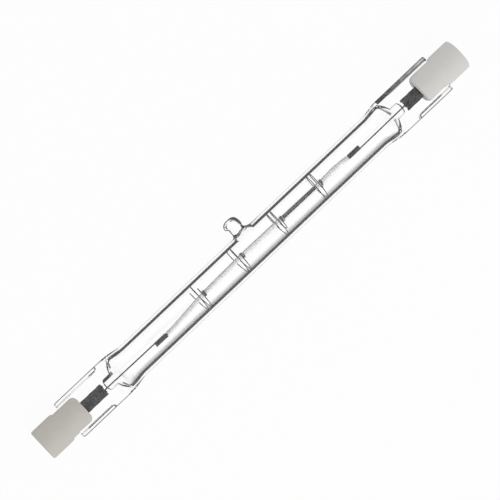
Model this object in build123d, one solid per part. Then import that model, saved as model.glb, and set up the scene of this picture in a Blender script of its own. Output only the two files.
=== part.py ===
from build123d import *
from collections import namedtuple
from math import asin, cos, degrees, pi, radians, sin
import os

# Double-ended linear quartz lamp, in millimetres.
# X runs along the lamp, the press seals lie in the XY plane, and the exhaust tip points to -Y.
# The origin is the middle of the lamp on the tube's axis. The glass and what it holds are drawn about
# the tube's own middle and moved along the lamp at the end.

# Whole lamp
overall_length = 118.0  # between the outer faces of the two caps
recess_depth = 1.9  # from the outer face of a cap to its contact
tube_shift = -0.7  # of the tube's middle along the lamp, as its press seals sit unevenly in the caps

# Quartz tube and its cavity
tube_diameter = 8.0
tube_wall = 0.8
cavity_width = 7.2  # widest part, just before the dome
dome_length = 2.6  # blunt end of the cavity
dome_reach = 1.0  # how far the dome runs on past the start of the press
loft_steps = 6

# Press seal
press_length = 13.7
press_width = 9.2
web_thickness = 2.4
flare_length = 4.6  # tube widening into the press
squeeze_length = 5.5  # tube flattening into the web
squeeze_reach = 2.4  # how far the flattening runs on past the start of the press
web_overlap = 0.2  # the flattened tube ends this deep inside the web
web_lead_in = 1.15  # tapered start of the web inside the shoulder
rail_width = 0.75
rail_height = 0.6  # above the web, on both faces
rail_bevel = 0.2
rail_start = 4.5  # plain edge between the shoulder and the rail
tip_rail_start = 2.4  # the same, on the tip's side
rail_rise = 0.8
rail_drop = 0.4
pocket_width = 2.8  # unsealed space round the inner lead
pocket_depth = 1.1
pocket_margin = 0.3  # glass between the pocket and the foil

# Exhaust tip
tip_offset = 0.35  # along the tube, from its middle
tip_ball_diameter = 3.5
tip_height = 3.7  # from the outside of the tube to the end of the ball
tip_neck_diameter = 2.9
tip_base_round = 0.55
tip_ball_round = 0.3
tip_hole_diameter = 1.5  # blind end of the funnel in the tip
tip_hole_height = 0.3  # from the outside of the tube
tip_hole_lean = -0.25  # along the tube, from the middle of the tip
funnel_length = 6.1  # along the tube, one wall inside the bore
funnel_width = 2.5  # across the tube, at the same place

# Ceramic cap
cap_diameter = 7.2
cap_length = 11.5
cap_bevel = 0.4
neck_width = 6.5
neck_length = 5.7
neck_corner = 1.4
neck_runout = 0.6  # slope from the neck's flats to the round head
press_seat = 4.8  # how far the press seals go into the caps, on average
slot_depth = 5.8
slot_clearance = 0.1
recess_diameter = 3.5

# Contact
contact_diameter = 2.9
contact_thickness = 0.6
contact_clearance = 0.05
contact_bevel = 0.15
shank_wall = 0.15
shank_length = 1.5
shank_clearance = 0.1
shank_grip = 1.0  # length of outer lead inside the shank

# Foil and leads
foil_width = 2.8
foil_thickness = 0.1
foil_shift = 0.2  # sideways, from the tube's axis
foil_margin = 1.3  # glass beyond the foil's outer end
weld_length = 1.6  # lead lying on the foil
inner_lead_diameter = 0.3
outer_lead_diameter = 0.5

# Filament, with its spuds and supports
coil_diameter = 0.92
coil_wire = 0.17
coil_lead_in = 1.5  # straight run next to each spud
spud_diameter = 1.1
spud_length = 3.3
spud_wall = 0.06  # outside the lead's hole
spud_grip = 2.6  # length of inner lead inside the spud
spigot_length = 1.0
spigot_clearance = 0.05
first_support = 7.6  # from the left spud to the first clamp
last_support = 11.3  # from the last clamp to the right spud
coil_wander = (-0.1, -0.2, -0.29, 0.0)  # sideways place of the coil at each support
support_wire = 0.25
wire_sides = 6
steps_per_turn = 15
ring_turns = 1.5
ring_pitch = 0.9
ring_clearance = 0.05
link_turns = 0.6  # winding inwards from ring to clamp
clamp_turns = 1.75
clamp_pitch = 0.3
clamp_clearance = 0.06
support_twist = 75.0  # degrees from one support to the next

# The two ends, which differ a little: length of lead inside the bulb, start of the foil after the
# start of the press, and sideways place of the lead at the foil and at the spud
left_lead_reach = 8.7
left_foil_inset = 3.8
left_lead_at_foil = 0.25
left_lead_at_spud = 0.35
right_lead_reach = 9.7
right_foil_inset = 3.8
right_lead_at_foil = 0.43
right_lead_at_spud = 0.55

# Side is the end's direction along X, and entry the side of the spud that its lead enters
End = namedtuple("End", "name side entry lead_reach foil_inset lead_at_foil lead_at_spud")
ends = (
    End("left", -1, 1, left_lead_reach, left_foil_inset, left_lead_at_foil, left_lead_at_spud),
    End("right", 1, -1, right_lead_reach, right_foil_inset, right_lead_at_foil, right_lead_at_spud),
)

# Places along the lamp
half_length = overall_length / 2
cap_inner = half_length - cap_length
press_end = cap_inner + press_seat
press_start = press_end - press_length
slot_floor = cap_inner + slot_depth
contact_face = half_length - recess_depth
contact_back = contact_face - contact_thickness
foil_end = press_end - foil_margin
flare_start = press_start - flare_length
squeeze_end = press_start + squeeze_reach
squeeze_start = squeeze_end - squeeze_length
dome_end = press_start + dome_reach
dome_start = dome_end - dome_length

# Sizes across the lamp
tube_radius = tube_diameter / 2
bore_radius = tube_radius - tube_wall
web_half = web_thickness / 2
press_half = press_width / 2
ball_radius = tip_ball_diameter / 2
ball_place = tube_radius + tip_height - ball_radius
coil_radius = coil_diameter / 2
coil_bore = coil_radius - coil_wire
inner_lead_radius = inner_lead_diameter / 2
outer_lead_radius = outer_lead_diameter / 2
inner_lead_height = foil_thickness / 2 + inner_lead_radius
outer_lead_height = foil_thickness / 2 + outer_lead_radius
spud_offset = spud_diameter / 2 - spud_wall - inner_lead_radius
shank_radius = outer_lead_height + outer_lead_radius + shank_wall
ring_radius = bore_radius - ring_clearance - support_wire / 2
clamp_radius = coil_radius + clamp_clearance + support_wire / 2

# From the tube's own place to its place in the lamp
along_lamp = Pos(tube_shift, 0, 0)

# The lamp lies on its tube and on the ball of its tip
rest_roll = degrees(asin((tube_radius - ball_radius) / ball_place))


def across(x):
    # plane square to the lamp, with its own x along Y and its own y along Z
    return Plane(origin=(x, 0, 0), x_dir=(0, 1, 0), z_dir=(1, 0, 0))


def rod(x_from, x_to, radius, y=0, z=0):
    length = x_to - x_from
    return Pos(x_from + length / 2, y, z) * Rot(0, 90, 0) * Cylinder(radius, length)


def at_end(end, solid):
    return solid if end.side > 0 else mirror(solid, about=Plane.YZ)


def spud_y(end):
    return end.lead_at_spud - end.entry * spud_offset


def spud_outer(end):
    return press_start - end.lead_reach


def spud_inner(end):
    return spud_outer(end) - spud_length


def foil_start(end):
    return press_start + end.foil_inset


def clamp_places():
    # spread evenly over the filament, from the first clamp to the last
    left, right = ends
    first = left.side * spud_inner(left) + first_support
    last = right.side * spud_inner(right) - last_support
    support_spacing = (last - first) / (len(coil_wander) - 1)
    return [first + support_spacing * index for index in range(len(coil_wander))]


# Shape of the shoulder between tube and press
def ease(share):
    share = min(max(share, 0.0), 1.0)
    return share * share * (3 - 2 * share)


def outer_half_width(x):
    return tube_radius + (press_half - tube_radius) * ease((x - flare_start) / flare_length)


def outer_half_depth(x):
    flat = web_half - web_overlap
    return tube_radius - (tube_radius - flat) * ease((x - squeeze_start) / squeeze_length)


def closed(x, wide, narrow):
    # rounds off from the full cavity to the pocket at the end of the dome
    share = min(max((x - dome_start) / dome_length, 0.0), 1.0)
    return narrow + (wide - narrow) * (1 - share**3)


def inner_half_width(x):
    widened = bore_radius + (cavity_width / 2 - bore_radius) * ease((x - flare_start) / flare_length)
    return closed(x, widened, pocket_width / 2)


def inner_half_depth(x):
    return closed(x, outer_half_depth(x) - tube_wall, pocket_depth / 2)


def oval_loft(finish, half_width, half_depth):
    # from the end of the plain tube towards the cap, with the sections closer where it closes
    span = finish - flare_start
    shares = [sin(pi / 2 * step / loft_steps) for step in range(loft_steps + 1)]
    stations = [flare_start + span * share for share in shares]
    return loft([across(x) * Ellipse(half_width(x), half_depth(x)) for x in stations], ruled=True)


def shoulder():
    return oval_loft(squeeze_end, outer_half_width, outer_half_depth)


def cavity_dome():
    return oval_loft(dome_end, inner_half_width, inner_half_depth)


def rail_section(x, width, half_height):
    corner = chamfer(Rectangle(width, 2 * half_height).vertices(), rail_bevel)
    return across(x) * corner


def press_rail(plain_edge):
    # level with the web past the shoulder, then a raised run that drops at the end of the press
    half_height = web_half + rail_height
    foot = press_start + plain_edge
    full = foot + rail_rise
    level = extrude(rail_section(press_start, rail_width, web_half), plain_edge)
    low = rail_section(foot, rail_width, web_half)
    high = rail_section(full, rail_width, half_height)
    last = rail_section(press_end - rail_drop, rail_width, half_height)
    finish = rail_section(press_end, rail_width, half_height - rail_drop)
    run = extrude(high, press_end - rail_drop - full)
    return level + loft([low, high], ruled=True) + run + loft([last, finish], ruled=True)


def press_seal():
    edge = press_half - rail_width / 2
    web_start = press_start - web_lead_in
    outline = Polyline(
        (web_start, -bore_radius),
        (press_start, -edge),
        (press_end, -edge),
        (press_end, edge),
        (press_start, edge),
        (web_start, bore_radius),
        close=True,
    )
    web = extrude(make_face(outline), web_half, both=True)
    seal = shoulder() + web
    return seal + Pos(0, edge, 0) * press_rail(rail_start) + Pos(0, -edge, 0) * press_rail(tip_rail_start)


def exhaust_tip():
    # ball on a neck, drawn downwards from the tube's axis
    neck_radius = tip_neck_diameter / 2
    neck_length = ball_place - bore_radius
    neck = Pos(0, -bore_radius - neck_length / 2) * Rectangle(tip_neck_diameter, neck_length)
    outline = neck + Pos(0, -ball_place) * Circle(ball_radius)
    waist = [corner for corner in outline.vertices() if abs(abs(corner.X) - neck_radius) < 1e-6]
    waist = ShapeList(waist).group_by(Axis.Y)[0]
    outline = fillet(waist, tip_ball_round)
    half = outline & Pos(ball_radius, -ball_place) * Rectangle(2 * ball_radius, 2 * ball_place)
    return Pos(tip_offset, 0, 0) * revolve(half, Axis.Y)


def tip_hole():
    # a funnel that is long along the tube, so that it stays inside the tube's wall
    mouth = -bore_radius + tube_wall
    bottom = -tube_radius - tip_hole_height
    middle = tip_offset + tip_hole_lean
    wide = Plane(origin=(middle, mouth, 0), x_dir=(1, 0, 0), z_dir=(0, -1, 0))
    blind = Plane(origin=(middle, bottom, 0), x_dir=(1, 0, 0), z_dir=(0, -1, 0))
    hole = Circle(tip_hole_diameter / 2)
    return loft([wide * Ellipse(funnel_length / 2, funnel_width / 2), blind * hole], ruled=True)


def near_tip(edges, height):
    found = []
    for edge in edges:
        middle = edge.center()
        if abs(middle.X - tip_offset) < tip_neck_diameter and abs(-middle.Y - height) < tube_wall:
            found.append(edge)
    return found


def bulb_cavity():
    bore = rod(-flare_start, flare_start, bore_radius)
    cavity = bore + tip_hole()
    for end in ends:
        section = across(dome_end) * Ellipse(pocket_width / 2, pocket_depth / 2)
        pocket = extrude(section, foil_start(end) - pocket_margin - dome_end)
        cavity = cavity + at_end(end, cavity_dome() + pocket)
    return cavity


def quartz_envelope(sealed_in):
    tube = rod(-flare_start, flare_start, tube_radius)
    body = tube + exhaust_tip()
    base = [edge for edge in near_tip(body.edges(), tube_radius) if edge.length > tip_neck_diameter]
    body = fillet(base, tip_base_round)
    for end in ends:
        body = body + at_end(end, press_seal())
    body = body - bulb_cavity()
    for piece in sealed_in:
        body = body - piece
    return body


def seal_foil(end):
    start = foil_start(end)
    length = foil_end - start
    foil = Pos(start + length / 2, foil_shift, 0) * Box(length, foil_width, foil_thickness)
    return at_end(end, foil)


def inner_lead(end):
    start = (spud_outer(end) - spud_grip, end.lead_at_spud, inner_lead_height)
    finish = (foil_start(end) + weld_length, end.lead_at_foil, inner_lead_height)
    run = Line(start, finish)
    section = Plane(origin=start, z_dir=run % 0) * Circle(inner_lead_radius)
    return at_end(end, extrude(section, run.length))


def outer_lead(end):
    start = foil_end - weld_length
    finish = contact_back - shank_length + shank_grip - end.side * tube_shift
    return at_end(end, rod(start, finish, outer_lead_radius, z=outer_lead_height))


def filament_spud(end):
    y = spud_y(end)
    body = rod(spud_inner(end), spud_outer(end), spud_diameter / 2, y, inner_lead_height)
    spigot_start = spud_inner(end) - spigot_length
    spigot = rod(spigot_start, spud_inner(end), coil_bore - spigot_clearance, y, inner_lead_height)
    return at_end(end, body + spigot) - inner_lead(end)


def coil_path():
    left, right = ends
    points = []
    for end, order in ((left, 1), (right, -1)):
        face = (end.side * spud_inner(end), spud_y(end), inner_lead_height)
        run = (face[0] - end.side * coil_lead_in, face[1], face[2])
        points.append([face, run][::order])
    middle = [(x, y, 0) for x, y in zip(clamp_places(), coil_wander)]
    return points[0] + middle + points[1]


def filament_coil():
    # the close turns are one tube of the coil's outer and inner size
    points = coil_path()
    path = Polyline(*points)
    ring = Plane(origin=points[0], z_dir=path % 0) * (Circle(coil_radius) - Circle(coil_bore))
    return sweep(ring, path=path)


def wound_wire(index):
    # the wire starts on the ring and winds towards -X, inwards to the clamp
    clamp_x = clamp_places()[index]
    turns = ring_turns + link_turns + clamp_turns
    steps = round(turns * steps_per_turn)
    points = []
    travel = 0.0
    for step in range(steps + 1):
        turn = turns * step / steps
        inward = ease((turn - ring_turns) / link_turns)
        radius = ring_radius + (clamp_radius - ring_radius) * inward
        angle = 2 * pi * turn + radians(support_twist * index)
        side = coil_wander[index] * inward
        points.append((travel, side + radius * cos(angle), radius * sin(angle)))
        travel -= (ring_pitch + (clamp_pitch - ring_pitch) * inward) * turns / steps
    clamp_middle = points[-1][0] + clamp_turns * clamp_pitch / 2
    return [(clamp_x + x - clamp_middle, y, z) for x, y, z in points]


def filament_support(index):
    points = [Vector(*point) for point in wound_wire(index)]
    before = points[:1] + points[:-1]
    after = points[1:] + points[-1:]
    sections = []
    for start, middle, finish in zip(before, points, after):
        place = Plane(origin=middle, x_dir=(1, 0, 0), z_dir=finish - start)
        sections.append(place * RegularPolygon(support_wire / 2, wire_sides))
    return loft(sections, ruled=True)


def cap_outline():
    # seen square to the press: narrow neck with rounded corners, running out to the round head
    neck_end = cap_inner + neck_length
    half_neck = neck_width / 2
    half_head = cap_diameter / 2
    outline = Polyline(
        (cap_inner, -half_neck),
        (neck_end, -half_neck),
        (neck_end + neck_runout, -half_head),
        (half_length, -half_head),
        (half_length, half_head),
        (neck_end + neck_runout, half_head),
        (neck_end, half_neck),
        (cap_inner, half_neck),
        close=True,
    )
    face = make_face(outline)
    return fillet(face.vertices().group_by(Axis.X)[0], neck_corner)


def ceramic_cap(end):
    blank = rod(cap_inner, half_length, cap_diameter / 2)
    blank = chamfer(blank.edges().filter_by(GeomType.CIRCLE), cap_bevel)
    cap = blank & extrude(cap_outline(), cap_diameter, both=True)

    slot_length = slot_floor - cap_inner
    slot_height = web_thickness + 2 * slot_clearance
    slot_middle = cap_inner + slot_length / 2
    cap = cap - Pos(slot_middle, 0, 0) * Box(slot_length, 2 * cap_diameter, slot_height)
    cap = cap - rod(slot_floor, contact_back, shank_radius + shank_clearance)
    cap = cap - rod(contact_back, contact_face, contact_diameter / 2 + contact_clearance)
    cap = cap - rod(contact_face, half_length, recess_diameter / 2)
    return at_end(end, cap)


def cap_cement(end):
    # fills the slot between the end of the press seal and the floor
    start = press_end + end.side * tube_shift
    thickness = slot_floor - start
    slot_height = web_thickness + 2 * slot_clearance
    plug = Pos(start + thickness / 2, 0, 0) * Box(thickness, neck_width, slot_height)
    return at_end(end, plug) - along_lamp * outer_lead(end)


def contact(end):
    disc = rod(contact_back, contact_face, contact_diameter / 2)
    disc = chamfer(disc.edges().filter_by(GeomType.CIRCLE).sort_by(Axis.X)[-1], contact_bevel)
    shank = rod(contact_back - shank_length, contact_back + contact_thickness / 2, shank_radius)
    return at_end(end, disc + shank) - along_lamp * outer_lead(end)


pieces = {}
sealed_in = []
for end in ends:
    pieces["seal_foil_" + end.name] = along_lamp * seal_foil(end)
    pieces["inner_lead_" + end.name] = along_lamp * inner_lead(end)
    pieces["outer_lead_" + end.name] = along_lamp * outer_lead(end)
    sealed_in += [seal_foil(end), inner_lead(end), outer_lead(end)]
    pieces["filament_spud_" + end.name] = along_lamp * filament_spud(end)
    pieces["ceramic_cap_" + end.name] = ceramic_cap(end)
    pieces["cap_cement_" + end.name] = cap_cement(end)
    pieces["contact_" + end.name] = contact(end)
for index in range(len(coil_wander)):
    pieces["filament_support_%d" % (index + 1)] = along_lamp * filament_support(index)
pieces["filament_coil"] = along_lamp * filament_coil()
pieces["quartz_envelope"] = along_lamp * quartz_envelope(sealed_in)

os.makedirs("parts", exist_ok=True)
for name, solid in pieces.items():
    export_step(Rot(rest_roll, 0, 0) * solid, "parts/%s.step" % name)
print("rest roll %.2f degrees" % rest_roll)
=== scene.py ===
import math

import bpy
import numpy as np
from mathutils import Matrix, Vector


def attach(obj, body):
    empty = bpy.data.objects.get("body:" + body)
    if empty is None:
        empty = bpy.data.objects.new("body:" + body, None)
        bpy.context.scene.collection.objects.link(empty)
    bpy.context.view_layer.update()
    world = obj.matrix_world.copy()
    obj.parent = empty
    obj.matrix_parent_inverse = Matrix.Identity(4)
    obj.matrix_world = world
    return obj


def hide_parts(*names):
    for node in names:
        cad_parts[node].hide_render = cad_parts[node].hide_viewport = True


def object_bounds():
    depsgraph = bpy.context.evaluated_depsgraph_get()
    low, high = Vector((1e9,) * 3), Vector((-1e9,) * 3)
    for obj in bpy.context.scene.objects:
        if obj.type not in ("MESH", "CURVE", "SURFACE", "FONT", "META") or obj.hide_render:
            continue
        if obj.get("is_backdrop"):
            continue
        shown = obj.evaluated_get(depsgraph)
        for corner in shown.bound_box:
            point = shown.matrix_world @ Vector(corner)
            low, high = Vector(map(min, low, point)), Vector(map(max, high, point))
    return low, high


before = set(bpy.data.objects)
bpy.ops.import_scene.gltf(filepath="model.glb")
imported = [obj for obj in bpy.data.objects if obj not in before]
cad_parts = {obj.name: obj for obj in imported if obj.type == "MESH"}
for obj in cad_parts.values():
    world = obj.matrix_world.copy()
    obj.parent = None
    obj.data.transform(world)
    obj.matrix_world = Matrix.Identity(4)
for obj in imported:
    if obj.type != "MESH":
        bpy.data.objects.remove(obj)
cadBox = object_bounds()
print("frame loaded with", len(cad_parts), "nodes")

# Lengths are millimetres in the lamp's own frame: x along the tube, y across the press seals
# with the exhaust tip at -y, and z square to the seals. toRow turns them into the row's metres.
tip = {
    "x": 0.35,
    "ballRadius": 1.75,
    "height": 7.7,
    "neckRadius": 1.45,
    "footRound": (0.95, -0.6, 0.3),  # reach of the foot by the cosine of its direction
    "footRise": 0.95,
    "footRings": 12,  # rings of faces with the foot's finish
    "ballLean": 0.28,  # of the ball along x
    "leanShare": 0.65,  # of the lean for a whole ring, the rest by the cosine of the direction
    "leanStart": 5.0,  # height at which the lean sets in
    "leanRun": 1.6,
    "ballFull": 2.6,  # how square its top is along the lamp, 2 for round
    "pinch": (0.45, 5.75, 0.45),  # taken off its +x side: depth, height and reach
    "funnel": (1.6, 3.5, 2.2),  # reach of the hole's mouth along -x, along x and to either side
    "funnelFull": 3,  # how square the mouth is, 2 for round
    "funnelLean": -1.25,
    "funnelEdge": 0.02,  # depth at which the hole's own finish starts
    "holeShare": 0.2,  # flat blind end, as a share of the mouth
    "holeEnd": 4.3,
    "patch": (-4.4, 2.9),  # along the tube, the patch that carries it
    "patchArc": 3.0,
    "rows": {"patch": 45, "apron": 6, "foot": 10, "ball": 24},  # rings of points on each stretch
}
quartz = {
    "shift": -0.7,  # of the tube's middle along the lamp
    "tubeRadius": 4.0,
    "boreRadius": 3.2,
    "flareStart": 34.0,
    "flareLength": 4.6,
    "squeezeStart": 35.5,
    "squeezeLength": 5.5,
    "flatHalf": 1.0,  # the flattened tube inside the web
    "pressEnd": 52.3,
    "pressHalf": 4.6,
    "webHalf": 1.2,
    "railWidth": 0.75,
    "railHeight": 0.6,
    "railStart": 43.1,
    "tipRailStart": 41.0,  # on the tip's side
    "railRise": 0.4,
    "railRound": 0.4,  # rounded start of the rail, seen square to the press
    "railRun": 1.0,  # stretch of close rows at the rail's start
    "corner": 0.3,
    "railWall": 0.2,  # half the run of the rail's inner wall
    "endRound": 0.4,
    "hair": 0.01,  # tolerance when faces are sorted by finish
    "tubeDegrees": (9, 16, 24, 38),  # on the tube, where the press's side, corner, rail top and rail wall end
    "section": {"side": 8, "corner": 6, "railTop": 4, "railWall": 8, "web": 27},  # points on a quarter
    "rows": {"shoulder": 44, "railRun": 16, "between": 5, "press": 14, "endRound": 7, "tube": 7},
    "cavityHalf": 3.6,
    "domeStart": 37.0,
    "domeLength": 2.6,
    "domeFull": 3,  # how blunt the dome is
    "domeFinish": 1.2,  # from the dome's start to where its own finish starts
    "pocketHalf": 1.4,
    "pocketDepth": 0.55,
    "pocketEnds": (-42.1, 42.1),
    "pocketRound": 0.7,
    "cavityColumns": 160,
    "cavityRows": {"shoulder": 24, "dome": 40, "pocket": 8, "pocketRound": 10, "bore": 8, "mouth": 42},
    "sharp": 50,  # degrees between faces that show as an edge
}
roll = math.asin((quartz["tubeRadius"] - tip["ballRadius"]) / (tip["height"] - tip["ballRadius"]))
rolled = np.array(Matrix.Rotation(roll, 3, "X"))
sideways = (0.0, math.cos(roll), math.sin(roll))  # across the press, away from the tip
upwards = (0.0, -math.sin(roll), math.cos(roll))  # square to the press
ends = ("left", "right")


def rollUp(points):  # from the lamp's own directions to the row's
    return np.asarray(points, float) @ rolled.T


def toRow(points):
    return rollUp(points) / 1000  # millimetres to metres


def ease(share):
    share = np.clip(share, 0.0, 1.0)
    return share * share * (3 - 2 * share)


def span(start, stop, count):
    return np.linspace(start, stop, count, endpoint=False)


def newPiece(name, points, faces, nodes, paints, paintIndex=None, sharp=40):  # sharp in degrees
    used = sorted({int(i) for face in faces for i in face})
    order = {old: new for new, old in enumerate(used)}
    mesh = bpy.data.meshes.new(name)
    mesh.from_pydata(toRow(points)[used].tolist(), [], [[order[int(i)] for i in face] for face in faces])
    mesh.validate()
    for paint in paints:
        mesh.materials.append(paint)
    if paintIndex is not None:
        mesh.polygons.foreach_set("material_index", np.asarray(paintIndex, np.int32))
    mesh.shade_smooth()
    mesh.set_sharp_from_angle(angle=math.radians(sharp))
    piece = bpy.data.objects.new(name, mesh)
    bpy.context.scene.collection.objects.link(piece)
    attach(piece, "root")
    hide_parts(*nodes)
    print("made", name, "with", len(mesh.polygons), "faces")


# Shader helpers: a Wire is a socket that can stand in a sum
class Wire:
    def __init__(self, paint, socket):
        self.paint = paint
        self.socket = socket

    def sum(self, operation, first, second):
        return self.paint.add("ShaderNodeMath", {"operation": operation}, {0: first, 1: second})

    def __add__(self, other):
        return self.sum("ADD", self, other)

    def __radd__(self, other):
        return self.sum("ADD", other, self)

    def __sub__(self, other):
        return self.sum("SUBTRACT", self, other)

    def __rsub__(self, other):
        return self.sum("SUBTRACT", other, self)

    def __mul__(self, other):
        return self.sum("MULTIPLY", self, other)

    def __rmul__(self, other):
        return self.sum("MULTIPLY", other, self)

    def __pow__(self, other):
        return self.sum("POWER", self, other)

    def __rpow__(self, other):
        return self.sum("POWER", other, self)

    def __gt__(self, other):
        return self.sum("GREATER_THAN", self, other)


class Paint:
    def __init__(self, tree):
        self.tree = tree
        self.tree.nodes.clear()

    def add(self, kind, settings, sockets, out=0):
        node = self.tree.nodes.new(kind)
        for key, value in settings.items():
            setattr(node, key, value)
        for key, value in sockets.items():
            if isinstance(value, Wire):
                self.tree.links.new(value.socket, node.inputs[key])
            else:
                node.inputs[key].default_value = value
        return Wire(self, node.outputs[out]) if node.outputs else None

    def mix(self, share, first, second):  # sockets 6 and 7 and output 2 are the colours
        return self.add("ShaderNodeMix", {"data_type": "RGBA"}, {0: share, 6: first, 7: second}, 2)

    def noise(self, place, scale, detail=3.0):
        return self.add("ShaderNodeTexNoise", {}, {"Vector": place, "Scale": scale, "Detail": detail})

    def place(self):
        return self.add("ShaderNodeTexCoord", {}, {}, "Object")

    def normal(self):
        return self.add("ShaderNodeNewGeometry", {}, {}, "Normal")

    def bump(self, height, strength, distance):
        return self.add("ShaderNodeBump", {}, {"Height": height, "Strength": strength, "Distance": distance})

    def along(self, direction, vector=None):
        return self.add("ShaderNodeVectorMath", {"operation": "DOT_PRODUCT"},
                        {0: vector or self.place(), 1: direction}, "Value")

    def fromSide(self, axis):  # 1 where a direction is seen from the side, 0 where it is seen end on
        normal = self.add("ShaderNodeCombineXYZ", {}, dict(zip("XYZ", axis)))
        return self.add("ShaderNodeLayerWeight", {}, {"Blend": 0.5, "Normal": normal}, "Facing")

    def window(self, value, start, end, soft=0.0002):  # 1 from start to end, with soft edges inside
        return self.step(value, start, start + soft) * (1 - self.step(value, end - soft, end))

    def most(self, first, second):
        return self.add("ShaderNodeMath", {"operation": "MAXIMUM"}, {0: first, 1: second})

    def step(self, value, start, end):
        return self.add("ShaderNodeMapRange", {"interpolation_type": "SMOOTHSTEP"},
                        {"Value": value, "From Min": start, "From Max": end})

    def show(self, surface):
        self.add("ShaderNodeOutputMaterial", {}, {"Surface": surface})


def newPaint(name):
    material = bpy.data.materials.new(name)
    material.use_nodes = True
    return material, Paint(material.node_tree)


def rgb(red, green, blue):
    return (red, green, blue, 1.0)


# Finishes, with places in metres as the shader reads them
alongLamp = (1.0, 0.0, 0.0)
glass = {
    "index": 1.458,
    # colour of the painted dark edges
    "edge": (0.03, 0.03, 0.032),
    "edgeRoughness": 0.4,
    "edgeGloss": 0.2,
    "shadow": (0.96, 0.96, 0.96),  # light that it passes on to what is under it
    "leastSide": 0.002,  # keeps the angle of straight lines finite where the lamp is seen end on
    "grain": 500,  # scale of the noise that breaks up painted lines and painted dark marks
    "patchy": (0.2, 0.6),  # the noise at a painted dark mark's palest and darkest
    "patchyShare": 0.5,
    "thinShare": 0.65,
    "paleShare": 0.75,
    "paleSoft": 0.0006,
}
paintedGlassMarks = {  # painted dark marks on the glass: along the lamp, across it, how dark, where it thins out, and how far the surface has to face up
    # painted reflection: a dark band along the rail, on its upper face
    "darkRail": {"x": (-0.0531, -0.0388), "y": (-0.0049, -0.0036), "share": 0.8, "thin": (-0.044, -0.053),
                 "top": (0.0, 0.5)},
    # painted dark streak by the pocket's edge
    "pocketStreak": {"x": (0.0382, 0.0418), "y": (-0.0016, -0.0007), "share": 0.9},
}
paleRails = [  # stretches where a rail's line nearly vanishes, along the lamp and across it
    ((0.0422, 0.0530), (-0.0050, -0.0030)),
    ((0.0494, 0.0530), (0.0030, 0.0043)),
    ((-0.0540, -0.0500), (0.0030, 0.0043)),
]
bowLines = [  # painted second dark lines at the shoulders: place on the axis, bow by the square of y, and run across
    {"x": (-0.0402, -0.0398), "bow": -75.0, "y": (-0.0032, -0.0003), "share": 0.85},
    {"x": (-0.0402, -0.0398), "bow": -75.0, "y": (0.0008, 0.0030), "share": 0.7},
    {"x": (0.0382, 0.0387), "bow": 70.0, "y": (-0.0033, -0.0020), "share": 0.9},
    {"x": (0.0382, 0.0387), "bow": 70.0, "y": (0.0018, 0.0032), "share": 0.8},
]
glassLines = {  # painted dark edges: where a grazing edge starts to go dark, where it is darkest, and how dark
    "quartzTube": {"start": 0.62, "end": 1.0, "share": 0.4, "straight": True},
    "quartzRim": {"start": 0.02, "end": 0.2, "share": 0.85, "straight": True, "outside": True,
                  "paintedDark": paintedGlassMarks["darkRail"]},
    "quartzRail": {"start": 0.2, "end": 0.45, "share": 0.85, "straight": True, "paintedDark": paintedGlassMarks["darkRail"],
                   "pale": paleRails},
    "quartzFoot": {"start": 0.5, "end": 1.0, "share": 0.7, "outside": True},
    "quartzTip": {"start": 0.42, "end": 0.62, "share": 0.95, "outside": True,
                  "heavy": 0.5, "slant": (-0.9, -0.4), "slanted": (0.3, 0.8),
                  "arcs": (0.18, 0.34, 0.03), "arcShare": 0.9, "broken": (0.45, 0.55)},
    "quartzBore": {"start": 0.5, "end": 0.75, "share": 0.97, "straight": True,
                   "wall": (0.21, 0.34, 0.02), "paintedShade": (0.12, 0.5), "paintedShadeSide": (-0.001, 0.001),
                   "paintedShadeShare": 0.66},
    "quartzFunnel": {"start": 0.18, "end": 0.38, "share": 0.95, "beside": (0.25, 0.6)},
    "quartzDome": {"start": 0.25, "end": 0.55, "share": 0.95, "paintedDark": paintedGlassMarks["pocketStreak"],
                   "bows": bowLines},
}


def grazing(paint, lines):
    # 0 where a surface is seen square on, 1 at its edge
    facing = paint.add("ShaderNodeLayerWeight", {}, {"Blend": 0.5}, "Facing")
    if "straight" in lines:  # judged square to the lamp's axis, so that a slanting view keeps thin lines
        endOn = 1 - paint.fromSide(alongLamp)
        facing = 1 - (1 - facing) * paint.most(1 - endOn * endOn, glass["leastSide"]) ** -0.5
    return facing


def edgeLine(paint, facing, lines):
    return paint.step(facing, lines["start"], lines["end"]) * lines["share"]


def tipLine(paint, facing, lines):
    # the painted dark edge, heavier where the tip leans towards -x, with broken painted lines inside
    along, across = lines["slant"]
    slant = (along, across * sideways[1], across * sideways[2])
    near = paint.step(paint.along(slant, paint.normal()), *lines["slanted"])
    broken = paint.step(paint.noise(paint.place(), glass["grain"]), *lines["broken"])
    arcs = paint.window(facing, *lines["arcs"]) * broken * (1 - near) * lines["arcShare"]
    return paint.most(edgeLine(paint, facing + near * lines["heavy"], lines), arcs)


def boreLine(paint, facing, side, outside, lines):
    # its edge through the wall, and a painted shade on the side away from the tip
    paintedShade = paint.step(facing, *lines["paintedShade"]) * paint.step(side, *lines["paintedShadeSide"]) * lines["paintedShadeShare"]
    wall = paint.window(facing, *lines["wall"]) * (1 - outside) * lines["share"]
    return paint.most(paint.most(edgeLine(paint, facing, lines), paintedShade) * outside, wall)


def darkPaintedSpot(paint, length, side, outside, spot):
    # a painted dark mark on the glass, placed along and across the lamp and broken up by noise
    mark = paint.window(length, *spot["x"]) * paint.window(side, *spot["y"]) * spot["share"]
    patchy = paint.step(paint.noise(paint.place(), glass["grain"]), *glass["patchy"])
    mark = mark * (patchy * glass["patchyShare"] + (1 - glass["patchyShare"]))
    if "thin" in spot:
        mark = mark * (1 - paint.step(length, *spot["thin"]) * glass["thinShare"])
    if "top" in spot:  # on the upper face alone, and as dark there as two such layers
        upper = paint.step(paint.along(upwards, paint.normal()), *spot["top"])
        mark = mark * (2 - mark) * outside * upper
    return mark


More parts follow.
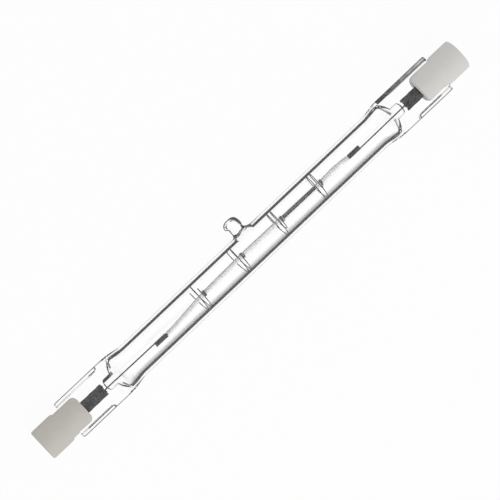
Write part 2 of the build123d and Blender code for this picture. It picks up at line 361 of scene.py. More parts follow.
def quartzFinish(name, lines):
    # clear glass with painted dark edges: where a surface is seen at a grazing angle a dark finish is mixed
    # in, standing in for the dark surroundings that bright-field light shows there
    material, paint = newPaint(name)
    clear = paint.add("ShaderNodeBsdfPrincipled", {}, {
        "Base Color": rgb(1.0, 1.0, 1.0),
        "Roughness": 0.0,
        "IOR": glass["index"],
        "Transmission Weight": 1.0,
    })
    # painted dark edge: the dark finish that the grazing lines mix in
    edge = paint.add("ShaderNodeBsdfPrincipled", {}, {
        "Base Color": rgb(*glass["edge"]),
        "Roughness": glass["edgeRoughness"],
        "Specular IOR Level": glass["edgeGloss"],
    })
    facing = grazing(paint, lines)
    side, length = paint.along(sideways), paint.along(alongLamp)
    outside = 1 - paint.add("ShaderNodeNewGeometry", {}, {}, "Backfacing")  # met from the air
    if "heavy" in lines:
        line = tipLine(paint, facing, lines)
    elif "wall" in lines:
        line = boreLine(paint, facing, side, outside, lines)
    else:
        line = edgeLine(paint, facing, lines)
    if "outside" in lines:
        line = line * outside
    if "beside" in lines:  # only where the tip is seen from the side
        line = line * paint.step(paint.fromSide(sideways), *lines["beside"])
    for x, y in lines.get("pale", []):
        pale = paint.window(length, *x, glass["paleSoft"]) * paint.window(side, *y)
        line = line * (1 - pale * glass["paleShare"])
    # painted dark marks at fixed places on the glass
    if "paintedDark" in lines:
        line = paint.most(line, darkPaintedSpot(paint, length, side, outside, lines["paintedDark"]))
    # painted second dark lines at the shoulders
    for bow in lines.get("bows", []):
        bent = length + side * side * bow["bow"]
        mark = paint.window(bent, *bow["x"]) * paint.window(side, *bow["y"])
        line = paint.most(line, mark * outside * bow["share"])
    body = paint.add("ShaderNodeMixShader", {}, {0: line, 1: clear, 2: edge})
    rays = [paint.add("ShaderNodeLightPath", {}, {}, ray) for ray in ("Is Shadow Ray", "Is Diffuse Ray")]
    through = paint.add("ShaderNodeBsdfTransparent", {}, {"Color": rgb(*glass["shadow"])})
    paint.show(paint.add("ShaderNodeMixShader", {}, {0: paint.most(*rays), 1: body, 2: through}))
    return material


metalGrain = {
    "mottle": (0.3, 0.7),  # the noise at the dark tone and at the light one
    "fine": 6,  # scale of the fine noise, by that of the mottling
    "roughness": 0.2,
    "bump": 0.5,
    # how far a surface must face towards the tip for the painted shade to start and to be full
    "shade": (-0.4, -0.85),
}
metals = {  # two tones, roughness, scale of the mottling and height of the bumps
    "tungsten": {
        "dark": (0.86, 0.86, 0.87),
        "light": (0.97, 0.97, 0.98),
        "roughness": 0.25,
        "grain": 900,
        "bump": 0.00002,
        "patches": [((0.06, 0.06, 0.062), (-0.0182, -0.0088), (-0.0006, 0.0003))],  # colour, x and y
        # colour of the painted shade on the side towards the tip
        "shaded": (0.15, 0.15, 0.152),
    },
    "wire": {
        "dark": (0.03, 0.03, 0.031),
        "light": (0.08, 0.08, 0.082),
        "roughness": 0.35,
        "grain": 900,
        "bump": 0.00002,
    },
    "foil": {
        "dark": (0.055, 0.055, 0.057),
        "light": (0.12, 0.12, 0.123),
        "roughness": 0.45,
        "grain": 900,
        "bump": 0.000006,
        "patches": [((0.015, 0.015, 0.016), (-0.06, 0.06), (-0.0013, -0.0010)),
                    ((0.015, 0.015, 0.016), (-0.06, 0.06), (0.0014, 0.0017))],
    },
    "contact": {
        "dark": (0.55, 0.54, 0.52),
        "light": (0.72, 0.71, 0.69),
        "roughness": 0.3,
        "grain": 1200,
        "bump": 0.00001,
    },
}


def metalFinish(name, m):
    material, paint = newPaint(name)
    mottle = paint.step(paint.noise(paint.place(), m["grain"]), *metalGrain["mottle"])
    fine = paint.noise(paint.place(), m["grain"] * metalGrain["fine"])
    tone = paint.mix(mottle, rgb(*m["dark"]), rgb(*m["light"]))
    for colour, x, y in m.get("patches", []):
        spot = paint.window(paint.along(alongLamp), *x) * paint.window(paint.along(sideways), *y)
        tone = paint.mix(spot, tone, rgb(*colour))
    if "shaded" in m:  # painted shade: the coil's side towards the tip is darkened by the way it faces
        shade = paint.step(paint.along(sideways, paint.normal()), *metalGrain["shade"])
        tone = paint.mix(shade, tone, rgb(*m["shaded"]))
    paint.show(paint.add("ShaderNodeBsdfPrincipled", {}, {
        "Base Color": tone,
        "Metallic": 1.0,
        "Roughness": fine * metalGrain["roughness"] + m["roughness"],
        "Normal": paint.bump(fine, metalGrain["bump"], m["bump"]),
    }))
    return material


ceramicGrain = {
    "speck": 14,  # scale of the specks, by that of the clouding
    "speckDetail": 5.0,
    "cloudShare": 0.7,
    "roughness": 0.15,
    "gloss": 0.3,
    "bump": 0.4,
}
ceramics = {  # two tones, roughness, scale of the clouding and height of the bumps; both caps are one ceramic, and the left cap's lighter tones are painted light
    "ceramicLeft": {
        "dark": (0.63, 0.61, 0.585),
        "light": (0.72, 0.7, 0.675),
        "roughness": 0.7,
        "grain": 400,
        "bump": 0.00003,
    },
    "ceramicRight": {
        "dark": (0.5, 0.485, 0.44),
        "light": (0.61, 0.595, 0.545),
        "roughness": 0.7,
        "grain": 400,
        "bump": 0.00003,
    },
    "cement": {
        "dark": (0.5, 0.48, 0.42),
        "light": (0.66, 0.63, 0.57),
        "roughness": 0.85,
        "grain": 900,
        "bump": 0.00008,
    },
}


def ceramicFinish(name, c):
    material, paint = newPaint(name)
    cloud = paint.noise(paint.place(), c["grain"])
    speck = paint.noise(paint.place(), c["grain"] * ceramicGrain["speck"], ceramicGrain["speckDetail"])
    blend = cloud * ceramicGrain["cloudShare"] + speck * (1 - ceramicGrain["cloudShare"])
    paint.show(paint.add("ShaderNodeBsdfPrincipled", {}, {
        "Base Color": paint.mix(blend, rgb(*c["dark"]), rgb(*c["light"])),
        "Roughness": speck * ceramicGrain["roughness"] + c["roughness"],
        "Specular IOR Level": ceramicGrain["gloss"],
        "Normal": paint.bump(speck, ceramicGrain["bump"], c["bump"]),
    }))
    return material


finishes = {
    **{name: quartzFinish(name, lines) for name, lines in glassLines.items()},
    **{name: metalFinish(name, metal) for name, metal in metals.items()},
    **{name: ceramicFinish(name, ceramic) for name, ceramic in ceramics.items()},
}
print("finishes ready:", ", ".join(finishes))


# Quartz envelope: one skin from press to press with the exhaust tip, and the sealed cavity inside
def quarterSection(q):
    # a quarter of the press's outline from its edge to the middle, and the tube's matching angles
    outer, corner, width = q["pressHalf"], q["corner"], q["railWidth"]
    web, rail, wall = q["webHalf"], q["railHeight"], q["railWall"]
    inner = outer - width - wall
    sideEnd, cornerEnd, topEnd, wallEnd = q["tubeDegrees"]
    steps = q["section"]
    rows = []
    for u in span(0, 1, steps["side"]):
        rows.append((sideEnd * u, outer, (web - corner) * u, rail * u))
    for u in span(0, 1, steps["corner"]):
        turn = u * math.pi / 2
        rows.append((sideEnd + (cornerEnd - sideEnd) * u, outer - corner + corner * math.cos(turn),
                     web - corner + corner * math.sin(turn), rail))
    for u in span(0, 1, steps["railTop"]):
        y = outer - corner - (width - corner - wall) * u
        rows.append((cornerEnd + (topEnd - cornerEnd) * u, y, web, rail))
    for u in span(0, 1, steps["railWall"]):
        y = inner + 2 * wall * (1 - u)
        rows.append((topEnd + (wallEnd - topEnd) * u, y, web, rail * (1 - float(ease(u)))))
    limit = math.cos(math.radians(wallEnd))
    for u in np.linspace(0, 1, steps["web"]):
        rows.append((math.degrees(math.acos(limit * (1 - u))), inner * (1 - u), web, 0.0))
    return np.array(rows).T


def fullRing(quarter):
    # angle, y, z and rail share for the whole section, from a quarter
    angle, y, z, rail = quarter
    there, back = slice(0, -1), slice(-1, 0, -1)
    angles = np.concatenate([angle[there], 180 - angle[back], 180 + angle[there], 360 - angle[back]])
    ys = np.concatenate([y[there], -y[back], -y[there], y[back]])
    zs = np.concatenate([z[there], z[back], -z[there], -z[back]])
    rails = np.concatenate([rail[there], rail[back], -rail[there], -rail[back]])
    return np.radians(angles), ys, zs, rails


def outerRing(q, ring, x):
    angle, pressY, pressZ, rail = ring
    reach = abs(x)
    wide = ease((reach - q["flareStart"]) / q["flareLength"])
    flat = ease((reach - q["squeezeStart"]) / q["squeezeLength"])
    railHalf = q["railWidth"] / 2
    inward = np.clip((q["pressHalf"] - railHalf - np.abs(pressY)) / railHalf, 0, 1)
    delay = q["railRound"] * (1 - np.sqrt(1 - inward**2))
    start = np.where(pressY > 0, q["railStart"], q["tipRailStart"])
    rise = ease((reach - start - delay) / q["railRise"])
    y = q["tubeRadius"] * np.cos(angle) * (1 - wide) + pressY * wide
    z = q["tubeRadius"] * np.sin(angle) * (1 - flat) + (pressZ + rail * rise) * flat
    left = q["pressEnd"] - reach
    if left < q["endRound"]:
        cut = q["endRound"] - math.sqrt(max(q["endRound"] ** 2 - (q["endRound"] - left) ** 2, 0.0))
        y = y * (1 - cut / q["pressHalf"])
        z = z * (1 - cut / (q["webHalf"] + q["railHeight"]))
    return np.column_stack([np.full(len(y), x), y, z])


def tipRings(q, t, dx, arc):
    # rings of points from the edge of the patch to the end of the ball
    radius, ball, rows = q["tubeRadius"], t["ballRadius"], t["rows"]
    turn = np.arctan2(arc, dx)
    even, lean, both = t["footRound"]
    spread = even + lean * np.cos(turn) + both * np.cos(turn) ** 2
    foot = t["neckRadius"] + spread
    footArc = radius * np.arcsin(foot * np.sin(turn) / radius)
    rings = []
    for u in np.linspace(0, 1, rows["apron"] + 1)[1:]:
        x = dx + (foot * np.cos(turn) - dx) * u
        a = (arc + (footArc - arc) * u) / radius
        rings.append(np.column_stack([t["x"] + x, -radius * np.cos(a), -radius * np.sin(a)]))
    for u in np.linspace(0, math.pi / 2, rows["foot"] + 1)[1:]:
        r = foot - spread * math.sin(u)
        z = r * np.sin(turn)
        height = np.sqrt(radius**2 - z**2) + t["footRise"] * (1 - math.cos(u))
        rings.append(np.column_stack([t["x"] + r * np.cos(turn), -height, -z]))
    depth, level, reach = t["pinch"]
    start = -math.acos(t["neckRadius"] / ball)
    for u in np.linspace(start, math.pi / 2, rows["ball"] + 1)[1:-1]:
        height = t["height"] - ball + ball * math.sin(u)
        plain = ball * math.cos(u)
        full = ball * (1 - max(math.sin(u), 0.0) ** t["ballFull"]) ** (1 / t["ballFull"])
        pinch = depth * math.exp(-(((height - level) / reach) ** 2)) * np.clip(np.cos(turn), 0, 1) ** 2
        across = (full if u > 0 else plain) - pinch
        tilt = t["ballLean"] * float(ease((height - t["leanStart"]) / t["leanRun"]))
        x = t["x"] + tilt * (t["leanShare"] + (1 - t["leanShare"]) * np.cos(turn)) + across * np.cos(turn)
        rings.append(np.column_stack([x, np.full(len(turn), -height), -plain * np.sin(turn)]))
    return rings


def outerSkin(q, t):
    ring = fullRing(quarterSection(q))
    columns = len(ring[0])
    half = columns // 2
    rows = q["rows"]
    tipRailRun, railRun = q["tipRailStart"] + q["railRun"], q["railStart"] + q["railRun"]
    press = np.concatenate([
        span(q["flareStart"], q["tipRailStart"], rows["shoulder"]),
        span(q["tipRailStart"], tipRailRun, rows["railRun"]),
        span(tipRailRun, q["railStart"], rows["between"]),
        span(q["railStart"], railRun, rows["railRun"]),
        span(railRun, q["pressEnd"] - q["endRound"], rows["press"]),
        q["pressEnd"] - q["endRound"] * (1 - np.sin(np.linspace(0, math.pi / 2, rows["endRound"]))),
    ])
    patchRows = np.linspace(t["x"] + t["patch"][0], t["x"] + t["patch"][1], t["rows"]["patch"])
    stations = np.concatenate([
        -press[::-1],
        np.linspace(-q["flareStart"], patchRows[0], rows["tube"] + 2)[1:-1],
        patchRows,
        np.linspace(patchRows[-1], q["flareStart"], rows["tube"] + 2)[1:-1],
        press,
    ])
    points = np.concatenate([outerRing(q, ring, x) for x in stations])
    paints = []
    first = len(press) + rows["tube"]
    last = first + len(patchRows) - 1
    reach = np.degrees(t["patchArc"] / q["tubeRadius"])
    side = int(np.sum(np.abs(np.degrees(ring[0]) - 180) <= reach) // 2)
    low, high = half - side, half + side
    faces = []
    for i in range(len(stations) - 1):
        for k in range(columns):
            if first <= i < last and low <= k < high:
                continue
            n = (k + 1) % columns
            faces.append((i * columns + k, i * columns + n, (i + 1) * columns + n, (i + 1) * columns + k))
            inward = q["pressHalf"] - min(abs(ring[1][k]), abs(ring[1][n]))
            pressed = abs(stations[i]) > q["flareStart"] + q["flareLength"]
            band = "quartzRim" if inward < q["corner"] + q["hair"] else "quartzRail"
            sideMiddle = max(abs(ring[2][k]), abs(ring[2][n])) < q["webHalf"] - q["corner"] - q["hair"]
            edged = not sideMiddle and inward < q["railWidth"] + q["railWall"] + q["hair"]
            paints.append(band if pressed and edged else "quartzTube")
    for i, order in ((0, 1), (len(stations) - 1, -1)):  # flat ends of the presses
        for k in range(half):
            quad = (i * columns + k, i * columns + (columns - k) % columns,
                    i * columns + columns - k - 1, i * columns + k + 1)
            faces.append(tuple(dict.fromkeys(quad))[::order])
            paints.append("quartzRail")
    loop = [(first, k) for k in range(low, high)] + [(i, high) for i in range(first, last)]
    loop += [(last, k) for k in range(high, low, -1)] + [(i, low) for i in range(last, first, -1)]
    dx = np.array([stations[i] - t["x"] for i, k in loop])
    arc = np.array([q["tubeRadius"] * (ring[0][k] - math.pi) for i, k in loop])
    previous = [i * columns + k for i, k in loop]
    count = len(loop)
    for number, tipRing in enumerate(tipRings(q, t, dx, arc)):
        base = len(points)
        points = np.concatenate([points, tipRing])
        for k in range(count):
            n = (k + 1) % count
            faces.append((previous[k], previous[n], base + n, base + k))
            paints.append("quartzFoot" if number < t["footRings"] else "quartzTip")
        previous = [base + k for k in range(count)]
    points = np.concatenate([points, [(t["x"] + t["leanShare"] * t["ballLean"], -t["height"], 0.0)]])
    faces += [(previous[k], previous[(k + 1) % count], len(points) - 1) for k in range(count)]
    paints += ["quartzTip"] * (len(faces) - len(paints))
    return points, faces, paints


def cavityHalves(q, x):
    reach = abs(x)
    flare = ease((reach - q["flareStart"]) / q["flareLength"])
    wide = q["boreRadius"] + (q["cavityHalf"] - q["boreRadius"]) * flare
    flat = ease((reach - q["squeezeStart"]) / q["squeezeLength"])
    wall = q["tubeRadius"] - q["boreRadius"]
    deep = q["tubeRadius"] - (q["tubeRadius"] - q["flatHalf"]) * flat - wall
    keep = 1 - np.clip((reach - q["domeStart"]) / q["domeLength"], 0, 1) ** q["domeFull"]
    width = q["pocketHalf"] + (wide - q["pocketHalf"]) * keep
    depth = q["pocketDepth"] + (deep - q["pocketDepth"]) * keep
    return float(width), float(depth)


def cavitySkin(q, t):
    columns, rows = q["cavityColumns"], q["cavityRows"]
    domeEnd = q["domeStart"] + q["domeLength"]
    middle = t["x"] + t["funnelLean"]
    mouth = (middle - t["funnel"][0], middle + t["funnel"][1])
    runs = []
    for end in q["pocketEnds"]:
        side, reach = math.copysign(1, end), abs(end)
        run = np.concatenate([
            span(q["flareStart"], q["domeStart"], rows["shoulder"]),
            span(q["domeStart"], domeEnd, rows["dome"]),
            span(domeEnd, reach - q["pocketRound"], rows["pocket"]),
            reach - q["pocketRound"] * (1 - np.sin(span(0, math.pi / 2, rows["pocketRound"]))),
        ])
        runs.append(side * run)
    stations = np.concatenate([
        runs[0][::-1],
        np.linspace(-q["flareStart"], mouth[0], rows["bore"])[1:],
        np.linspace(mouth[0], mouth[1], rows["mouth"])[1:],
        np.linspace(mouth[1], q["flareStart"], rows["bore"])[1:-1],
        runs[1],
    ])
    angle = span(0, 2 * math.pi, columns)
    full = t["funnelFull"]
    points = []
    for x in stations:
        width, depth = cavityHalves(q, x)
        left = abs(q["pocketEnds"][int(x > 0)]) - abs(x)
        if left < q["pocketRound"]:
            share = math.sqrt(max(1 - (1 - left / q["pocketRound"]) ** 2, 0.0))
            width, depth = width * share, depth * share
        y, z = width * np.cos(angle), depth * np.sin(angle)
        ahead = abs((x - middle) / t["funnel"][int(x > middle)])
        away = (ahead**full + np.abs(z / t["funnel"][2]) ** full) ** (1 / full)
        sink = ease((1 - away) / (1 - t["holeShare"])) * (y < 0)
        y = y - (t["holeEnd"] - q["boreRadius"]) * sink
        points.append(np.column_stack([np.full(columns, x), y, z]))
    points = np.concatenate(points)
    faces, paints = [], []
    for i in range(len(stations) - 1):
        for k in range(columns):
            n = (k + 1) % columns
            faces.append((i * columns + k, (i + 1) * columns + k, (i + 1) * columns + n, i * columns + n))
            sunk = -points[i * columns + k][1] > q["boreRadius"] + t["funnelEdge"]
            straight = "quartzFunnel" if sunk and mouth[0] < stations[i] < mouth[1] else "quartzBore"
            paints.append(straight if abs(stations[i]) < q["domeStart"] + q["domeFinish"] else "quartzDome")
    tops = [(q["pocketEnds"][0], 0.0, 0.0), (q["pocketEnds"][1], 0.0, 0.0)]
    base = len(points)
    points = np.concatenate([points, tops])
    end = (len(stations) - 1) * columns
    for k in range(columns):
        n = (k + 1) % columns
        faces.append((base, k, n))
        faces.append((base + 1, end + n, end + k))
    paints += ["quartzDome"] * (len(faces) - len(paints))
    return points, faces, paints


def makeQuartz(q, t):
    outer, outerFaces, outerPaints = outerSkin(q, t)
    inner, innerFaces, innerPaints = cavitySkin(q, t)
    faces = outerFaces + [tuple(i + len(outer) for i in face) for face in innerFaces]
    names = list(glassLines)
    index = [names.index(name) for name in outerPaints + innerPaints]
    points = np.concatenate([outer, inner]) + (q["shift"], 0.0, 0.0)
    newPiece("quartzEnvelope", points, faces, ["quartz_envelope"],
             [finishes[name] for name in names], index, q["sharp"])


makeQuartz(quartz, tip)


# Bars made of a stack of rings, and round wire along a line of points
def barFaces(rows, columns, base=0):
    # the sides of a stack of rings, and its two ends
    faces = []
    for i in range(rows - 1):
        for k in range(columns):
            n = (k + 1) % columns
            faces.append((base + i * columns + k, base + i * columns + n,
                          base + (i + 1) * columns + n, base + (i + 1) * columns + k))
    last = base + (rows - 1) * columns
    faces.append(tuple(base + k for k in range(columns))[::-1])
    faces.append(tuple(last + k for k in range(columns)))
    return faces


def wireSkin(points, radius, sides, base=0):
    points = np.asarray(points, float)
    ahead = np.gradient(points, axis=0)
    ahead /= np.linalg.norm(ahead, axis=1)[:, None]
    anywhere = (0.3, 0.5, 0.8)  # a direction that no wire starts along
    across = np.cross(ahead[0], anywhere)
    turn = span(0, 2 * math.pi, sides)
    skin = []
    for point, along in zip(points, ahead):
        across = across - along * (across @ along)
        across /= np.linalg.norm(across)
        upward = np.cross(along, across)
        skin.append(point + radius * (np.outer(np.cos(turn), across) + np.outer(np.sin(turn), upward)))
    return np.concatenate(skin), barFaces(len(points), sides, base)


# Filament: a close helix that runs from spud to spud through the supports
filament = {
    "line": ((-27.3, 0.01, 0.2), (-25.8, -0.12, 0.2), (-23.4, -0.28, 0.1),
             (-19.7, -0.1, 0.0), (-8.6, -0.2, 0.0), (2.5, -0.29, 0.0), (13.6, 0.0, 0.0),  # in the supports
             (23.4, 0.89, 0.2), (24.9, 0.89, 0.2)),
    "radius": 0.54,
    "wire": 0.085,
    "pitch": 0.19,
    "stepsPerTurn": 14,
    "sides": 6,
}


def makeFilament(f):
    line = np.array(f["line"])
    start, stop = line[0, 0] + f["wire"], line[-1, 0] - f["wire"]
    turns = (stop - start) / f["pitch"]
    x = np.linspace(start, stop, int(turns * f["stepsPerTurn"]) + 1)
    angle = 2 * math.pi * (x - start) / f["pitch"]
    middle = f["radius"] - f["wire"]
    y = np.interp(x, line[:, 0], line[:, 1]) + middle * np.cos(angle)
    z = np.interp(x, line[:, 0], line[:, 2]) + middle * np.sin(angle)
    points, faces = wireSkin(np.column_stack([x, y, z]), f["wire"], f["sides"])
    newPiece("filamentCoil", points, faces, ["filament_coil"], [finishes["tungsten"]])


makeFilament(filament)

# Supports: wire wound as a ring against the bore, then inwards to a clamp round the filament
supports = {
    "clamps": filament["line"][3:7],
    "wire": 0.1,
    "ringRadius": 3.04,
    "ringTurns": 1.5,
    "ringPitch": 0.9,
    "linkTurns": 0.6,
    "clampRadius": 0.645,
    "clampTurns": 1.75,
    "clampPitch": 0.3,
    "twist": 75.0,  # degrees from one support to the next
    "stepsPerTurn": 56,
    "sides": 10,
}


def makeSupport(s, index):
    clampX, clampY, clampZ = s["clamps"][index]
    turns = s["ringTurns"] + s["linkTurns"] + s["clampTurns"]
    turn = np.linspace(0, turns, int(turns * s["stepsPerTurn"]) + 1)
    inward = ease((turn - s["ringTurns"]) / s["linkTurns"])
    radius = s["ringRadius"] + (s["clampRadius"] - s["ringRadius"]) * inward
    pitch = s["ringPitch"] + (s["clampPitch"] - s["ringPitch"]) * inward
    travel = -np.concatenate([[0.0], np.cumsum((pitch[1:] + pitch[:-1]) / 2 * np.diff(turn))])
    angle = 2 * math.pi * turn + math.radians(s["twist"] * index)
    x = clampX + travel - travel[-1] - s["clampTurns"] * s["clampPitch"] / 2
    y = clampY * inward + radius * np.cos(angle)
    z = clampZ * inward + radius * np.sin(angle)
    points, faces = wireSkin(np.column_stack([x, y, z]), s["wire"], s["sides"])
    name = "filament_support_%d" % (index + 1)
    newPiece("filamentSupport%d" % (index + 1), points, faces, [name], [finishes["wire"]])


for number in range(len(supports["clamps"])):
    makeSupport(supports, number)

# Spuds: a stout core close wound with wire, over the end of each lead
spuds = {
    "left": {"from": filament["line"][0], "to": -30.6},
    "right": {"from": filament["line"][-1], "to": 28.2},
    "radius": 0.55,
    "wire": 0.11,
    "pitch": 0.235,
    "spigotRadius": 0.24,
    "spigot": 1.0,
    "stepsPerTurn": 20,
    "sides": 7,
    "rodSteps": 4,
    "rodSides": 20,
}


def makeSpud(s, end):
    (inner, y, z), outer = s[end]["from"], s[end]["to"]
    side = math.copysign(1, outer)
    length = abs(outer - inner) - 2 * s["wire"]
    turns = length / s["pitch"]
    angle = np.linspace(0, 2 * math.pi * turns, int(turns * s["stepsPerTurn"]) + 1)
    along = inner + side * (s["wire"] + length * angle / angle[-1])
    middle = s["radius"] - s["wire"]
    winding = np.column_stack([along, y + middle * np.cos(angle), z + middle * np.sin(angle)])
    points, faces = wireSkin(winding, s["wire"], s["sides"])
    near, far = inner + side * s["wire"], outer - side * s["wire"]
    rods = ((inner - side * s["spigot"], near, s["spigotRadius"]), (near, far, middle))
    for start, stop, radius in rods:
        rod = [(x, y, z) for x in np.linspace(start, stop, s["rodSteps"])]
        more, moreFaces = wireSkin(rod, radius, s["rodSides"], len(points))
        points = np.concatenate([points, more])
        faces += moreFaces
    newPiece("filamentSpud" + end.title(), points, faces, ["filament_spud_" + end],
             [finishes["wire"]])


for end in ends:
    makeSpud(spuds, end)

# Seal foils: thin crumpled strips with a ragged inner end
foils = {
    "left": (-43.1, -51.7),
    "right": (41.7, 50.3),
    "y": 0.2,
    "halfWidth": 1.4,
    "halfThickness": 0.04,
    "ragged": 0.3,
    "raggedWaves": ((0.3, 7, 2), (0.2, 17, 1)),  # height, rate across and phase
    "raggedFade": 6,  # how soon it dies away along the strip
    "sideWave": (0.015, 23, 3),  # of the long sides: depth, rate along and rate across
    "wave": 0.008,
    "waveRates": (19, 2, 5),  # along, on the slant and across
    "edgeThin": (0.6, 6),  # share of the thickness that the edges lose, and how late
    "rows": 48,
    "columns": 21,
}


def makeFoil(f, end):
    start, stop = f[end]
    side = math.copysign(1, stop)
    rows, columns = f["rows"], f["columns"]
    u, v = np.meshgrid(np.linspace(0, 1, rows), np.linspace(-1, 1, columns), indexing="ij")
    jag = 0.5 + sum(height * np.sin(rate * v + phase * side) for height, rate, phase in f["raggedWaves"])
    x = start + (stop - start) * u + side * f["ragged"] * jag * (1 - u) ** f["raggedFade"]
    depth, along, across = f["sideWave"]
    y = f["y"] + f["halfWidth"] * v * (1 - depth * (1 + np.sin(along * u + across * v * side)))
    along, slanted, across = f["waveRates"]
    wave = f["wave"] * np.sin(along * u + slanted * v) * np.cos(across * v)
    lost, late = f["edgeThin"]
    edge = f["halfThickness"] * (1 - lost * np.abs(v) ** late)
    top = np.column_stack([x.ravel(), y.ravel(), (wave + edge).ravel()])
    bottom = np.column_stack([x.ravel(), y.ravel(), (wave - edge).ravel()])
    count = rows * columns
    faces = []
    for i in range(rows - 1):
        for k in range(columns - 1):
            a, b = i * columns + k, (i + 1) * columns + k
            faces.append((a, b, b + 1, a + 1)[::int(side)])
            faces.append((count + a, count + a + 1, count + b + 1, count + b)[::int(side)])
    rim = list(range(columns)) + [i * columns + columns - 1 for i in range(1, rows)]
    rim += [(rows - 1) * columns + k for k in range(columns - 2, -1, -1)]
    rim += [i * columns for i in range(rows - 2, 0, -1)]
    for k in range(len(rim)):
        a, b = rim[k], rim[(k + 1) % len(rim)]
        faces.append((a, b, count + b, count + a)[::int(side)])
    newPiece("sealFoil" + end.title(), np.concatenate([top, bottom]), faces, ["seal_foil_" + end],
             [finishes["foil"]])


for end in ends:
    makeFoil(foils, end)

# Ceramic caps: a round head and a flat-sided neck, slotted for the press and bored for the contact
caps = {
    "inner": 47.5,
    "outer": 59.0,
    "radius": 3.6,
    "neckHalf": (3.4, 3.4),  # on the tip's side and on the other
    "waist": (0.05, 0.2),  # taken off by the end of the neck
    "neckEnd": (53.0, 51.6),
    "runout": (1.6, 4.2),
    "neckCorner": 1.4,
    "flatFull": 18,  # how sharply the neck's flats meet its round
    "flatClear": 1.3,  # where a flat has run out, as a share of the radius
    "innerRound": 0.4,
    "outerRound": 0.45,
    "slotHalf": 1.3,
    "slotFloor": 53.3,
    "slotRoom": 2.0,  # of the slot's cutter past the neck
    "bore": ((52.9, 0.8), (56.5, 0.8), (56.5, 1.5), (57.1, 1.5), (57.1, 1.75), (58.85, 1.75), (59.2, 2.1)),
    "boreColumns": 96,
    "columns": 144,
    "rows": {"innerRound": 7, "corner": 9, "neck": 6, "runout": 25, "head": 6, "outerRound": 8},
    "sharp": 30,  # degrees
}


def lathe(profile, columns):
    # closed solid turned about x from (x, radius) pairs
    angle = span(0, 2 * math.pi, columns)
    points = [(x, r * math.cos(a), r * math.sin(a)) for x, r in profile for a in angle]
    return points, barFaces(len(profile), columns)


def capBlank(c):
    inner, outer, columns, rows = c["inner"], c["outer"], c["columns"], c["rows"]
    cornerEnd, neckEnd = inner + c["neckCorner"], c["neckEnd"][1]
    runoutEnd = neckEnd + c["runout"][1]
    stations = np.concatenate([
        inner + c["innerRound"] * (1 - np.cos(np.linspace(0, math.pi / 2, rows["innerRound"]))),
        np.linspace(inner + c["innerRound"], cornerEnd, rows["corner"])[1:],
        np.linspace(cornerEnd, neckEnd, rows["neck"])[1:],
        np.linspace(neckEnd, runoutEnd, rows["runout"])[1:],
        np.linspace(runoutEnd, outer - c["outerRound"], rows["head"])[1:],
        outer - c["outerRound"] * (1 - np.sin(np.linspace(0, math.pi / 2, rows["outerRound"])[1:])),
    ])
    angle = span(0, 2 * math.pi, columns)
    full = c["flatFull"]
    points = []
    for x in stations:
        radius = c["radius"]
        for room, rounding in ((x - inner, c["innerRound"]), (outer - x, c["outerRound"])):
            if room < rounding:
                radius -= rounding - math.sqrt(max(rounding**2 - (rounding - room) ** 2, 0.0))
        y, z = radius * np.cos(angle), radius * np.sin(angle)
        limits = []
        for half, waist, flatEnd, runout in zip(c["neckHalf"], c["waist"], c["neckEnd"], c["runout"]):
            room = c["neckCorner"] - min(x - inner, c["neckCorner"])
            half -= c["neckCorner"] - math.sqrt(max(c["neckCorner"] ** 2 - room**2, 0.0))
            half -= waist * float(ease((x - inner) / (flatEnd - inner)))
            clear = c["radius"] * c["flatClear"]
            limits.append(half + (clear - half) * float(ease((x - flatEnd) / runout)))
        y = y / (1 + (np.abs(y) / np.where(y < 0, *limits)) ** full) ** (1 / full)
        points.append(np.column_stack([np.full(columns, x), y, z]))
    return np.concatenate(points), barFaces(len(stations), columns)


def looseMesh(name, points, faces):
    mesh = bpy.data.meshes.new(name)
    mesh.from_pydata(np.asarray(points).tolist(), [], [list(map(int, face)) for face in faces])
    thing = bpy.data.objects.new(name, mesh)
    bpy.context.scene.collection.objects.link(thing)
    return thing


def capSkin(c):
    blank = looseMesh("capBlank", *capBlank(c))
    low, high = c["inner"] - c["slotRoom"], c["slotFloor"]
    wide, tall = 2 * c["radius"], c["slotHalf"]
    corners = [(x, y, z) for x in (low, high) for y in (-wide, wide) for z in (-tall, tall)]
    sides = [(0, 1, 3, 2), (4, 6, 7, 5), (0, 4, 5, 1), (2, 3, 7, 6), (0, 2, 6, 4), (1, 5, 7, 3)]
    bore = lathe(c["bore"], c["boreColumns"])
    cutters = [looseMesh("capSlot", corners, sides), looseMesh("capBore", *bore)]
    for cutter in cutters:
        cut = blank.modifiers.new(cutter.name, "BOOLEAN")
        cut.operation = "DIFFERENCE"
        cut.solver = "EXACT"
        cut.object = cutter
    made = bpy.data.meshes.new_from_object(blank.evaluated_get(bpy.context.evaluated_depsgraph_get()))
    points = np.array([vertex.co[:] for vertex in made.vertices])
    faces = [tuple(face.vertices) for face in made.polygons]
    for thing in (blank, *cutters):
        bpy.data.objects.remove(thing)
    return points, faces


capPoints, capFaces = capSkin(caps)
# each cap takes its own tone of the ceramic, the left one painted lighter for the light that falls on it
for end, side in zip(ends, (-1, 1)):
    shown = [face[::side] for face in capFaces]
    newPiece("ceramicCap" + end.title(), capPoints * (side, 1, 1), shown, ["ceramic_cap_" + end],
             [finishes["ceramic" + end.title()]], sharp=caps["sharp"])

# Pieces kept as the frame has them, with their finishes
kept = {"inner_lead": "wire", "outer_lead": "wire", "cap_cement": "cement", "contact": "contact"}
keptSharp = 35  # degrees
for node, finish in kept.items():
    for end in ends:
        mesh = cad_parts[node + "_" + end].data
        mesh.materials.clear()
        mesh.materials.append(finishes[finish])
        mesh.shade_smooth()
        mesh.set_sharp_from_angle(angle=math.radians(keptSharp))
print("finished", len(kept) * len(ends), "kept pieces")

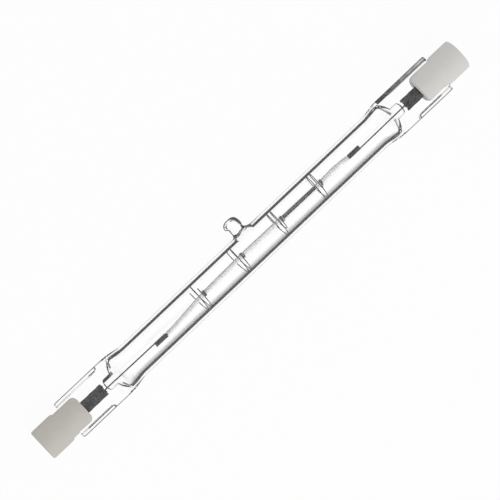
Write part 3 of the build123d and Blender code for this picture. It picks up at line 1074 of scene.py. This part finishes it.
# Stage: white floor, soft light from above, and the camera of the photograph
stage = {
    "floorSize": 3.0,  # metres, as all of the stage
    "floorDiffuse": 0.8,
    "floorGlow": 0.95,  # share of plain white that the eye, reflections and glass see
    "skyLight": 0.8,
    "key": {"at": (0.0, 0.5, 0.45), "size": 0.5, "power": 1.0},
}


def seenDirectly(paint):
    path = {name: paint.add("ShaderNodeLightPath", {}, {}, name)
            for name in ("Is Camera Ray", "Is Glossy Ray", "Is Transmission Ray")}
    return (path["Is Camera Ray"] + path["Is Glossy Ray"] + path["Is Transmission Ray"]) > 0.5


def makeFloor(s):
    half = s["floorSize"] / 2
    level = min(cadBox[0][2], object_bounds()[0][2])
    corners = [(-half, -half, level), (half, -half, level), (half, half, level), (-half, half, level)]
    mesh = bpy.data.meshes.new("floor")
    mesh.from_pydata(corners, [], [(0, 1, 2, 3)])
    material, paint = newPaint("floorWhite")
    plain = paint.add("ShaderNodeBsdfDiffuse", {}, {"Color": rgb(*[s["floorDiffuse"]] * 3)})
    white = paint.add("ShaderNodeEmission", {}, {"Color": rgb(1.0, 1.0, 1.0), "Strength": 1.0})
    glow = seenDirectly(paint) * s["floorGlow"]
    paint.show(paint.add("ShaderNodeMixShader", {}, {0: glow, 1: plain, 2: white}))
    mesh.materials.append(material)
    floor = bpy.data.objects.new("floor", mesh)
    bpy.context.scene.collection.objects.link(floor)
    floor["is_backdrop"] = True


def makeSky(s):
    world = bpy.data.worlds.new("studio")
    bpy.context.scene.world = world
    world.use_nodes = True
    sky = Paint(world.node_tree)
    strength = seenDirectly(sky) * (1 - s["skyLight"]) + s["skyLight"]
    light = sky.add("ShaderNodeBackground", {}, {"Color": rgb(1.0, 1.0, 1.0), "Strength": strength})
    sky.add("ShaderNodeOutputWorld", {}, {"Surface": light})


def makeKey(k):
    lamp = bpy.data.lights.new("key", "AREA")
    lamp.size = k["size"]
    lamp.energy = k["power"]
    holder = bpy.data.objects.new("key", lamp)
    holder.location = k["at"]
    holder.rotation_euler = (-Vector(k["at"])).to_track_quat("-Z", "Y").to_euler()
    bpy.context.scene.collection.objects.link(holder)


makeFloor(stage)
makeSky(stage)
makeKey(stage["key"])
print("stage ready")

camera = {
    "distance": 642.2,
    "lens": 225.0,
    "sensor": 36.0,
    "clipStart": 0.01,  # metres
    "tilt": 5.4,  # degrees from square to the press, towards +x
    "axisAngle": 43.36,  # of the tube in the picture, above the horizontal
    "aim": (0.419, 0.387),  # the picture's middle from the lamp's, towards its left and bottom
}


def makeCamera(c):
    tilt, lean = math.radians(c["tilt"]), math.radians(c["axisAngle"])
    back = np.array((math.sin(tilt), 0.0, math.cos(tilt)))
    along = np.array((math.cos(tilt), 0.0, -math.sin(tilt)))
    across = np.array((0.0, 1.0, 0.0))
    right = -math.cos(lean) * along + math.sin(lean) * across
    upward = -math.sin(lean) * along - math.cos(lean) * across
    spot = back * c["distance"] - right * c["aim"][0] - upward * c["aim"][1]
    axes = [rollUp(v) for v in (right, upward, back)]
    data = bpy.data.cameras.new("camera")
    data.sensor_width = c["sensor"]
    data.lens = c["lens"]
    data.clip_start = c["clipStart"]
    holder = bpy.data.objects.new("camera", data)
    turned = Matrix([list(row) for row in zip(*axes)]).to_4x4()
    holder.matrix_world = Matrix.Translation(Vector(toRow(spot))) @ turned
    bpy.context.scene.collection.objects.link(holder)
    bpy.context.scene.camera = holder


makeCamera(camera)
bpy.context.scene.view_settings.view_transform = "Standard"
print("camera ready")

bpy.context.view_layer.update()
